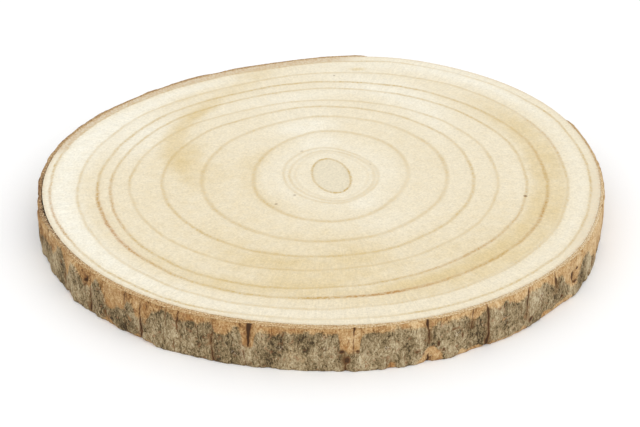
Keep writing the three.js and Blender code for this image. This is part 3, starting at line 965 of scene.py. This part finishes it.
def bark_material():
    paint = Paint("bark")
    look = BARK_LOOK
    place = paint.place()
    speck, ruddy, uneven = (paint.noise(place, *rule) for rule in BARK_NOISES.values())
    bent = paint.bent(place, *BARK_BEND)
    drawn_out = [(paint.vector("MULTIPLY", bent, axes), rule) for axes, *rule in BARK_PATTERNS.values()]
    swirl, fibres = (paint.noise(vector, *rule) for vector, rule in drawn_out[:2])
    dark_threads, pale_threads = (paint.threads(vector, *rule) for vector, rule in drawn_out[2:])
    patches = paint.smooth(swirl, look.patch)

    # Grey outer bark, and inner bark where it is off: both fibrous, the grey one with painted shade in its
    # hollows and painted light on its crests
    level = paint.scaled(swirl, look.swirl)
    level = paint.plus(level, paint.scaled(fibres, look.fibres))
    level = paint.plus(level, paint.scaled(speck, look.speck))
    level = paint.plus(level, paint.mark("tone"), look.tone)
    # Painted shade in the grey bark's hollows and painted light on its crests, from the heights of the fine
    # relief
    grey_level = paint.plus(level, paint.mark("ridge"), look.ridge)
    grey_level = paint.plus(grey_level, dark_threads, look.dark_threads)
    grey_level = paint.plus(grey_level, pale_threads, look.pale_threads)
    bare_level = paint.plus(level, paint.mark("pale"), look.bare_pale)
    edge = paint.plus(paint.mark("bare"), paint.scaled(swirl, look.edge_swirl))
    edge = paint.plus(edge, paint.scaled(speck, look.edge_speck))
    edge = paint.smooth(edge, look.edge)
    colour = paint.mix(edge, paint.ramp(grey_level, GREY_BARK), paint.ramp(bare_level, BARE_BARK))
    colour = paint.tint(colour, RED_BROWN, paint.smooth(ruddy, look.ruddy), look.ruddy_tint)
    colour = paint.tint(colour, RUST, paint.times(paint.mark("rust"), patches), look.rust_tint)

    # Sawn edge: granular, paler beside the wood, browner where it dried away from the wood, and with a
    # painted shadow of the drying gap along the wood
    layer = paint.plus(paint.mark("layer"), paint.scaled(uneven, look.layer))
    grain = paint.plus(speck, paint.mark("tone"), look.sawn_tone)
    grain = paint.plus(paint.plus(grain, look.sawn_level), layer, look.sawn_layer)
    grain = paint.plus(grain, paint.mark("pale"), look.sawn_pale)
    off_thin = paint.math("ABSOLUTE", paint.math("SUBTRACT", layer, look.thin_middle))
    thin = paint.smooth(off_thin, look.thin)
    sawn = paint.tint(paint.ramp(grain, SAWN_BARK), RED_BROWN, thin, look.thin_tint)
    dried = paint.times(paint.mark("dried"), paint.smooth(speck, look.dried))
    sawn = paint.tint(sawn, DRIED_BROWN, dried, look.dried_tint)
    # Painted shadow of the drying gap: a dark ragged line along the wood's side of the sawn edge
    gap = paint.times(paint.mark("dried"), paint.smooth(layer, look.gap))
    gap = paint.times(gap, paint.smooth(speck, look.gap_speck))
    sawn = paint.mix(gap, sawn, CRACK_DARK)
    colour = paint.mix(paint.mark("cut"), colour, sawn)

    # Scars, and cracks with brown beside them and a dark core that is partly painted shade in the fissure and
    # partly its own darker inside
    scar = paint.times(paint.mark("scar"), paint.smooth(fibres, look.scar))
    colour = paint.tint(colour, SCAR_DARK, scar, look.scar_tint)
    pale = paint.times(paint.mark("scar"), paint.smooth(speck, look.scar_pale))
    colour = paint.mix(pale, colour, SCAR_PALE)
    halo = paint.times(paint.mark("near_crack"), patches)
    colour = paint.tint(colour, HALO_BROWN, halo, look.halo_tint)
    strength = paint.scaled(paint.smooth(swirl, look.crack_swirl), look.crack)
    crack = paint.times(paint.mark("crack"), strength)
    colour = paint.tint(colour, CRACK_BROWN, paint.smooth(crack, look.brown), look.brown_tint)
    # Dark core of the cracks and fissures: painted shade in the fissure over its own darker inside; the dark
    # bits beside the cracks get the same colour
    colour = paint.tint(colour, CRACK_DARK, paint.smooth(crack, look.dark), look.dark_tint)

    height = paint.plus(paint.plus(fibres, speck), swirl, look.swirl_height)
    return paint.finish(
        Base_Color=colour,
        Roughness=paint.scaled(speck, look.roughness),
        Normal=paint.bump(height, look.bump),
        Specular_IOR_Level=look.specular,
    )


def add_floor():
    bpy.ops.mesh.primitive_plane_add(size=FLOOR.size * MM)
    floor = bpy.context.object
    floor.name = "floor"
    pale = (FLOOR.white,) * 3 + (1,)
    floor.data.materials.append(Paint("floor").finish(Base_Color=pale, Roughness=FLOOR.roughness))


def add_studio():
    """White sky, and broad soft suns."""
    world = bpy.data.worlds.new("studio")
    world.use_nodes = True
    background = world.node_tree.nodes["Background"]
    background.inputs["Color"].default_value = (1, 1, 1, 1)
    background.inputs["Strength"].default_value = SKY_STRENGTH
    bpy.context.scene.world = world
    for name, lean, turn, strength in SUNS:
        data = bpy.data.lights.new(name, "SUN")
        data.energy = strength
        data.angle = math.radians(SUN_SPREAD)
        new_object(name, data).rotation_euler = (math.radians(lean), 0, math.radians(turn))


def add_camera():
    """Camera that looks along +Y and down at the slice."""
    aim = np.array([*PITH, THICKNESS]) + CAMERA.aim
    elevation = math.radians(CAMERA.elevation)
    back = np.array([0, -math.cos(elevation), math.sin(elevation)])
    data = bpy.data.cameras.new("camera")
    data.lens = CAMERA.lens
    data.sensor_width = CAMERA.sensor
    camera = new_object("camera", data)
    camera.location = (aim + CAMERA.distance * back) * MM
    camera.rotation_euler = (math.pi / 2 - elevation, 0, 0)
    bpy.context.scene.camera = camera


add_camera()
add_studio()
add_floor()
for piece, node in ((wood_piece(wood_material()), "wood"), (bark_piece(bark_material()), "bark")):
    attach(piece, "root")
    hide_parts(node)
bpy.context.scene.view_settings.view_transform = "Standard"
